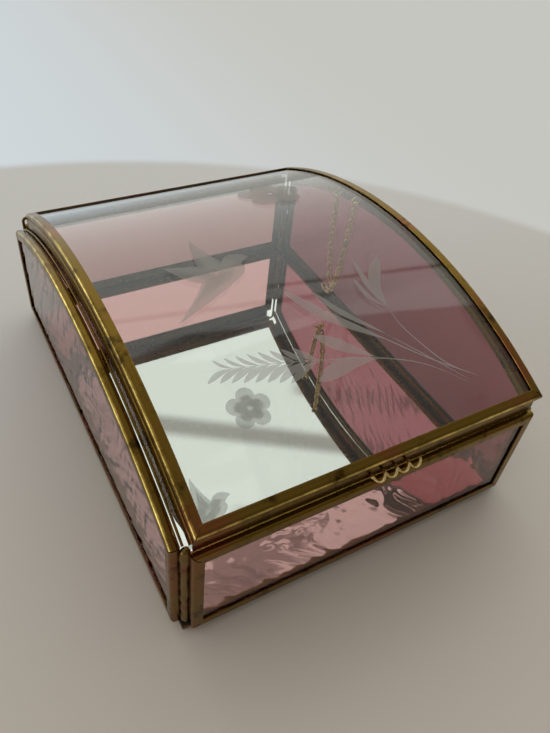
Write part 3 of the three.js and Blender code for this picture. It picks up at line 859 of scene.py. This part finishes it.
spray_stem = [(-49, 49.8), (-33.1, 46.7), (-16.6, 43.1), (-1, 38.9), (13.8, 34.7)]
spray_stem += [(29.9, 26.9), (44.5, 13.7)]
spray = [lens_cut(spray_stem, 0.55, 0.6)]
stem_at = smooth_line(spray_stem, 400)
leaf_pairs = 8
first_leaf_x, leaf_spacing = -36.9, 4.3
for step in range(leaf_pairs):
    base = stem_at[np.argmin(np.abs(stem_at[:, 0] - (first_leaf_x + leaf_spacing * step)))]
    upper_tip = base + (-5.4 - 0.25 * step, 5.3 + 0.36 * step)
    lower_tip = base + (-10.4 - 0.5 * step, -2.7 - 0.3 * step)
    upper_middle = (base + upper_tip) / 2 + (-0.5, -0.5)
    lower_middle = (base + lower_tip) / 2 + (-0.1, 0.9)
    spray.append(lens_cut([base, upper_middle, upper_tip], 1.15 + 0.2 * step, 0.55))
    spray.append(lens_cut([base, lower_middle, lower_tip], 2.1 + 0.12 * step, 0.6))
spray += [
    lens_cut([(13.8, 35.1), (3.6, 43.4), (-4.1, 50.7)], 5.0, 0.6),
    lens_cut([(13.8, 34.3), (1.6, 36.0), (-11.3, 33.1)], 6.0, 0.62),
]

blades = [
    lens_cut([(-4.6, 74.0), (4.6, 57.6), (21, 40.6)], 4.6, 0.45),
    lens_cut([(6.1, 68.8), (11.6, 56.4), (22.5, 42.6)], 2.6, 0.45),
    lens_cut([(19, 42.6), (32.8, 28.6), (48.5, 15.7)], 0.6),
    lens_cut([(21, 44.5), (34.4, 27.4), (44.5, 15.0)], 0.5),
    lens_cut([(8, 54.6), (20.6, 41.2), (33.0, 28.4)], 0.45),
]

trumpet = [
    lens_cut([(30.2, 52), (32.4, 65.5), (42.8, 78.6)], 5.0, 0.6),
    lens_cut([(29.6, 52.6), (26.0, 60), (25.2, 69.6)], 2.2, 0.6),
    lens_cut([(29.9, 53.2), (29.0, 64), (31.3, 79.6)], 2.6, 0.6),
    lens_cut([(30.2, 53), (30.9, 42.1), (38.2, 25.3), (48.5, 15.7)], 0.6),
]

petal_count = 5
flower_core, petal_reach, petal_turn = 9.5, 5.3, 0.2
flower_centre = np.array((29.6, 144.0))
round_angle = np.linspace(0, 2 * np.pi, 121)[:-1]
petal_wave = np.abs(np.cos(petal_count / 2 * (round_angle - petal_turn)))
petal_edge = flower_core + petal_reach * petal_wave**0.6
flower_outline = np.stack((np.cos(round_angle), np.sin(round_angle)), -1) * petal_edge[:, None]
flower = [domed_shape(flower_centre, flower_centre + flower_outline)]

grain_size, grain_depth = 0.5, 0.05
glow_share, frost_share = 0.4, 0.3
frosted_cut, cut_tree = new_material("wheel_cut_frosted_glass")
cut_place = add_node(cut_tree, "TexCoord").outputs["Object"]
cut_grain = add_node(
    cut_tree,
    "TexNoise",
    inputs={"Vector": cut_place, "Scale": 1 / (grain_size * mm), "Detail": 3, "Roughness": 0.6},
)
cut_colour = add_node(cut_tree, "Mix", colour_mix, {0: cut_grain, 6: srgb("#e2e0da"), 7: srgb("#f4f3ee")})
cut_bump = add_node(
    cut_tree, "Bump", inputs={"Height": cut_grain, "Strength": 0.4, "Distance": grain_depth * mm}
)
cut_scatter = add_node(cut_tree, "BsdfDiffuse", inputs={"Color": cut_colour.outputs[2], "Normal": cut_bump})
cut_glow = add_node(cut_tree, "BsdfTranslucent", inputs={"Color": cut_colour.outputs[2]})
cut_body = add_node(cut_tree, "MixShader", inputs={0: glow_share, 1: cut_scatter, 2: cut_glow})
cut_clear = add_node(cut_tree, "BsdfTransparent")
cut_shader = add_node(cut_tree, "MixShader", inputs={0: frost_share, 1: cut_clear, 2: cut_body})
add_node(cut_tree, "OutputMaterial", inputs={"Surface": cut_shader})
engraving = {"bird": bird, "spray": spray, "blades": blades, "trumpet": trumpet, "flower": flower}
for name, parts in engraving.items():
    new_piece(f"engraved_{name}", *joined(parts), frosted_cut, "lid", "lid_glass", crease=30)


# Solder
# Brass coloured solder run down each corner gap between the walls. It set in lumps and has dulled.
bead_lumpiness = 0.09
bead_tip = 0.01


def lumpy_bead(low, high, centre, radius, seed):
    """An upright bead: circles whose radius swells and shrinks with height and angle, and closes in a
    quarter circle at each end."""
    height = np.linspace(0, 1, 61)[:, None]
    angle = np.linspace(0, 2 * np.pi, 25)[None, :-1]
    z = low + (high - low) * height
    lumps = rolling(z + 0 * angle, 3 * np.cos(angle) + 0 * z, (3, 11), (0, np.pi), seed)
    end = np.minimum(z - low, high - z) / radius
    close = np.sqrt(1 - np.clip(1 - end, 0, 1) ** 2)
    size = radius * close * (1 + bead_lumpiness * lumps) + bead_tip
    points = in_space(centre[0] + size * np.cos(angle), centre[1] + size * np.sin(angle), z)
    return points, tube_faces(*points.shape[:2])


lumpy_solder = aged_metal(
    "tarnished_brass_solder", "#7d6538", "#8a5c38", "#3a2e20", "#dcbc6a", (0.22, 0.4), patch_size=12
)
bead_radius = 1.75
bead_shift = 0.15
back_bead_rise = 2.4
for seed, name in enumerate(("front_left", "front_right", "back_left", "back_right"), start=30):
    low, high = box_mm(f"solder_{name}")
    centre = (low + high) / 2
    centre[:2] -= bead_shift * np.sign(centre[:2])
    top = high[2] + (back_bead_rise if "back" in name else 0)
    points, faces = lumpy_bead(low[2], top, centre, bead_radius, seed)
    new_piece(f"{name}_bead", points, faces, lumpy_solder, "box", "solder", (f"solder_{name}",))


# Hinge
# A thin brass tube along the lid's back rail, on a wire whose ends are bent down into the corners.
def tube(points, radius, hint, sides=14, closed=False):
    """A round wire along a line: at each point a circle square to the line, drawn from the directions
    across the hint and along it."""
    if closed:
        run = np.roll(points, -1, 0) - np.roll(points, 1, 0)
    else:
        run = np.gradient(points, axis=0)
    run = run / np.linalg.norm(run, axis=1, keepdims=True)
    side = np.cross(run, hint)
    side /= np.linalg.norm(side, axis=1, keepdims=True)
    up = np.cross(side, run)
    angle = np.linspace(0, 2 * np.pi, sides + 1)[:-1]
    rings = points[:, None] + np.asarray(radius).reshape(-1, 1, 1) * (
        side[:, None] * np.cos(angle)[None, :, None] + up[:, None] * np.sin(angle)[None, :, None]
    )
    rows = len(points)
    if closed:
        return rings.reshape(-1, 3), grid_quads(rows, sides, wrap_rows=True, wrap_columns=True)
    return rings.reshape(-1, 3), tube_faces(rows, sides)


hinge_brass = aged_metal("dulled_hinge_brass", "#7d6634", "#7f5a36", "#33291c", "#cfae5c", (0.28, 0.45))
tube_wall = 0.65
tube_chamfer = 0.1
tube_low, tube_high = box_mm("hinge_tube")
tube_turn = np.linspace(0, 2 * np.pi, 33)[:-1]
tube_profile = [
    (tube_low[0], tube_radius - tube_wall),
    (tube_low[0], tube_radius - tube_chamfer),
    (tube_low[0] + tube_chamfer, tube_radius),
    (tube_high[0] - tube_chamfer, tube_radius),
    (tube_high[0], tube_radius - tube_chamfer),
    (tube_high[0], tube_radius - tube_wall),
]
tube_x, tube_r = np.array(tube_profile).T[:, :, None]
sleeve_points = in_space(tube_x, hinge_y + tube_r * np.cos(tube_turn), hinge_z + tube_r * np.sin(tube_turn))
sleeve_faces = grid_quads(len(tube_profile), len(tube_turn), wrap_rows=True, wrap_columns=True)
new_piece("hinge_sleeve", sleeve_points, sleeve_faces, hinge_brass, "lid", "hinge_brass", ("hinge_tube",))

wire_low, wire_high = box_mm("hinge_wire")
wire_radius = (wire_high[1] - wire_low[1]) / 2
wire_bend = 1.6
wire_x = wire_high[0] - wire_radius
bend_turn = np.linspace(0, np.pi / 2, 8)
wire_end = [(wire_x, wire_low[2]), (wire_x, (wire_low[2] + hinge_z) / 2)]
wire_turn = (wire_x - wire_bend * (1 - np.cos(bend_turn)), hinge_z - wire_bend * (1 - np.sin(bend_turn)))
right_half = np.concatenate((wire_end, np.stack(wire_turn, -1)))
wire_line = np.concatenate((right_half, right_half[::-1] * (-1, 1)))
wire_points = in_space(wire_line[:, 0], hinge_y, wire_line[:, 1])
pin_mesh = tube(wire_points, wire_radius, (0, 1, 0))
new_piece("hinge_pin", *pin_mesh, hinge_brass, "box", "hinge_brass", ("hinge_wire",))

# Seams
# Solder run between the mirror's frame and the walls, a brass strip soldered on the back wall's top
# behind the tube, and one on each arch's inner edge, so that no light passes at these places.
base_frame_front, base_frame_back = box_mm("base_came_front"), box_mm("base_came_back")
seam_radius = 0.95
seam_spacing = 1.5
seam_lumpiness = 0.1
seam_x = (base_width / 2 + box_mm("right_came_bottom")[0][0]) / 2
seam_back = (base_frame_back[1][1] + box_mm("back_came_bottom")[0][1]) / 2
seam_front = (base_frame_front[0][1] + box_mm("front_came_bottom")[1][1]) / 2
seam_z = (base_frame_front[1][2] + wall_foot) / 2
seam_corners = [(-seam_x, seam_front), (seam_x, seam_front), (seam_x, seam_back), (-seam_x, seam_back)]
seam_line = np.concatenate([edge[:-1] for edge in edges_between(seam_corners, seam_spacing)])
seam_points = in_space(*seam_line.T, seam_z)
# The seam's colours are tarnish and painted shade: dark and dull, so that the floor's shaded edge shows no
# bright line.
shade_dark_solder = aged_metal(
    "tarnished_and_shade_dark_solder", "#3d3a34", "#40382e", "#24221e", "#4a463e", (0.6, 0.8), patch_size=12
)
seam_lumps = seam_lumpiness * rolling(*seam_line.T, (4, 15), (0, np.pi), seed=50)
seam_mesh = tube(seam_points, seam_radius * (1 + seam_lumps), (0, 0, 1), sides=8, closed=True)
new_piece("floor_solder_seam", *seam_mesh, shade_dark_solder, "box", "solder")
ledge_half_length = 68
ledge_thickness = 0.55
ledge_sunk = 0.1
ledge_under_hinge = 0.25
ledge_reach = 0.7
ledge_low = wall_foot + wall_height - ledge_sunk
ledge_high = hinge_z - ledge_under_hinge
ledge_back = hinge_y + tube_radius + ledge_reach
ledge_y, ledge_z = ledge_back - ledge_thickness / 2, (ledge_low + ledge_high) / 2
strip_piece(
    "hinge_ledge_strip",
    np.linspace(-ledge_half_length, ledge_half_length, 60),
    strip_section(ledge_thickness, ledge_high - ledge_low),
    lambda x, across, up: in_space(x, ledge_y + across, ledge_z + up),
    "box",
)

rebate_foot = -1.2
rebate_thickness = 0.7
rebate_shift = 0.15
rebate_end_gap = 0.5
arch_half_angle = np.arcsin(side_length / 2 / arch_radius) - rebate_end_gap / arch_radius
rebate_x = (box_mm("right_came_arch")[0][0] + box_mm("lid_skirt_right")[1][0]) / 2 + rebate_shift


def arch_place(x, radius):
    """Puts a point of a strip along an end wall's arch: across is +X, up is away from its centre."""
    return lambda turn, across, up: in_space(
        x + across,
        middle_y + (radius + up) * np.sin(turn),
        wall_foot + arch_top(0) - arch_radius + (radius + up) * np.cos(turn),
    )


for name, sign, rebate_top in (("left", -1, 0.35), ("right", 1, 3.0)):
    strip_piece(
        f"{name}_rebate_strip",
        np.linspace(-arch_half_angle, arch_half_angle, 90),
        strip_section(rebate_thickness, rebate_top - rebate_foot),
        arch_place(sign * rebate_x, arch_radius + (rebate_top + rebate_foot) / 2),
        "box",
    )

# Thumb coil
# Bright brass wire wound in an open coil of four turns, laid under the lid's front rail.
coil_low, coil_high = box_mm("thumb_coil")
coil_wire_radius = 0.55
coil_turns = 4
coil_pitch = 5
coil_centre = (coil_low + coil_high) / 2
coil_radius = (coil_high[1] - coil_low[1]) / 2 - coil_wire_radius
coil_turn = np.linspace(0, 2 * np.pi * coil_turns, 48 * coil_turns + 1)
coil_start = coil_centre[0] - coil_pitch * coil_turns / 2
coil_points = in_space(
    coil_start + coil_pitch * coil_turn / (2 * np.pi),
    coil_centre[1] + coil_radius * np.sin(coil_turn),
    coil_centre[2] + coil_radius * np.cos(coil_turn),
)
wire_brass = aged_metal(
    "drawn_brass_wire", "#f0d898", "#e6bf8a", "#a08658", "#fdf0c0", (0.3, 0.45), patch_size=6
)
coil_outwards = in_space(0, np.sin(coil_turn), np.cos(coil_turn))
coil_mesh = tube(coil_points, coil_wire_radius, coil_outwards, sides=16)
new_piece("thumb_coil_wire", *coil_mesh, wire_brass, "lid", "wire_brass", ("thumb_coil",))

# Stay chain
# Small oval links of brass wire between a ring on the right arch and a ring on the lid. One strand
# hangs from each ring, and they meet at the bottom.
ring_wire_radius = 0.45
ring_turn = np.linspace(0, 2 * np.pi, 49)[:-1]
ring_centres = {}
for name, body in (("wall", "box"), ("lid", "lid")):
    low, high = box_mm(f"{name}_eyelet")
    ring_centres[name] = centre = (low + high) / 2
    ring_radius = (high[0] - low[0]) / 2 - ring_wire_radius
    ring_line = centre + ring_radius * in_space(np.cos(ring_turn), 0, np.sin(ring_turn))
    ring_mesh = tube(ring_line, ring_wire_radius, (0, 1, 0), closed=True)
    new_piece(f"{name}_ring", *ring_mesh, wire_brass, body, "wire_brass", (f"{name}_eyelet",))

link_wire_radius = 0.5
link_width = 3.4
link_pitch = 2.85
link_bite = 0.25
link_points = 20
lid_links, wall_links = 22, 17
strand_slack = link_bite + seat_gap
chain_length = (lid_links + wall_links) * link_pitch - strand_slack
end_drop = ring_radius - ring_wire_radius - seat_gap - link_bite / 2
chain_from = ring_centres["lid"][1:] - (0, end_drop)
chain_to = ring_centres["wall"][1:] - (0, end_drop)
span, rise = chain_to - chain_from
# The chain hangs in a catenary. Its scale is found by halving a range that holds it, fifty times.
low_scale, high_scale = span / chain_length, span
for _ in range(50):
    scale = (low_scale + high_scale) / 2
    if 2 * scale * np.sinh(span / (2 * scale)) > np.sqrt(chain_length**2 - rise**2):
        low_scale = scale
    else:
        high_scale = scale
hang_start = np.arctanh(rise / chain_length) - span / (2 * scale)


def hanging(length):
    """The place on the catenary through both rings, at a length along it from the lid's ring."""
    here = np.arcsinh(np.sinh(hang_start) + length / scale)
    y = chain_from[0] + scale * (here - hang_start)
    z = chain_from[1] + scale * (np.cosh(here) - np.cosh(hang_start))
    return np.stack((y, z), -1)


def oval_link(start, end, x, turned):
    """One link between two points of the chain's plane: two half circles joined by straights, its width
    in the plane or square to it."""
    run = (end - start) / np.linalg.norm(end - start)
    along = np.array((0, *run))
    across = np.array((1, 0, 0)) if turned else np.array((0, run[1], -run[0]))
    end_radius = link_width / 2 - link_wire_radius
    straight = (link_pitch - link_bite) / 2 + link_wire_radius - end_radius
    angle = 2 * np.pi * (np.arange(link_points) + 0.5) / link_points
    forward = end_radius * np.sin(angle) + np.sign(np.sin(angle)) * straight
    centre = np.array((x, *((start + end) / 2)))
    line = centre + np.outer(end_radius * np.cos(angle), across) + np.outer(forward, along)
    return tube(line, link_wire_radius, np.cross(across, along), sides=8, closed=True)


for name, count, from_length in (
    ("lid", lid_links, 0),
    ("wall", wall_links, lid_links * link_pitch - strand_slack),
):
    joints = hanging(from_length + np.arange(count + 1) * link_pitch)
    links = [oval_link(joints[k], joints[k + 1], ring_centres[name][0], k % 2 == 1) for k in range(count)]
    body = f"{name}_strand_chain"
    new_piece(f"{name}_chain_links", *joined(links), wire_brass, body, "wire_brass", (f"{name}_strand",))
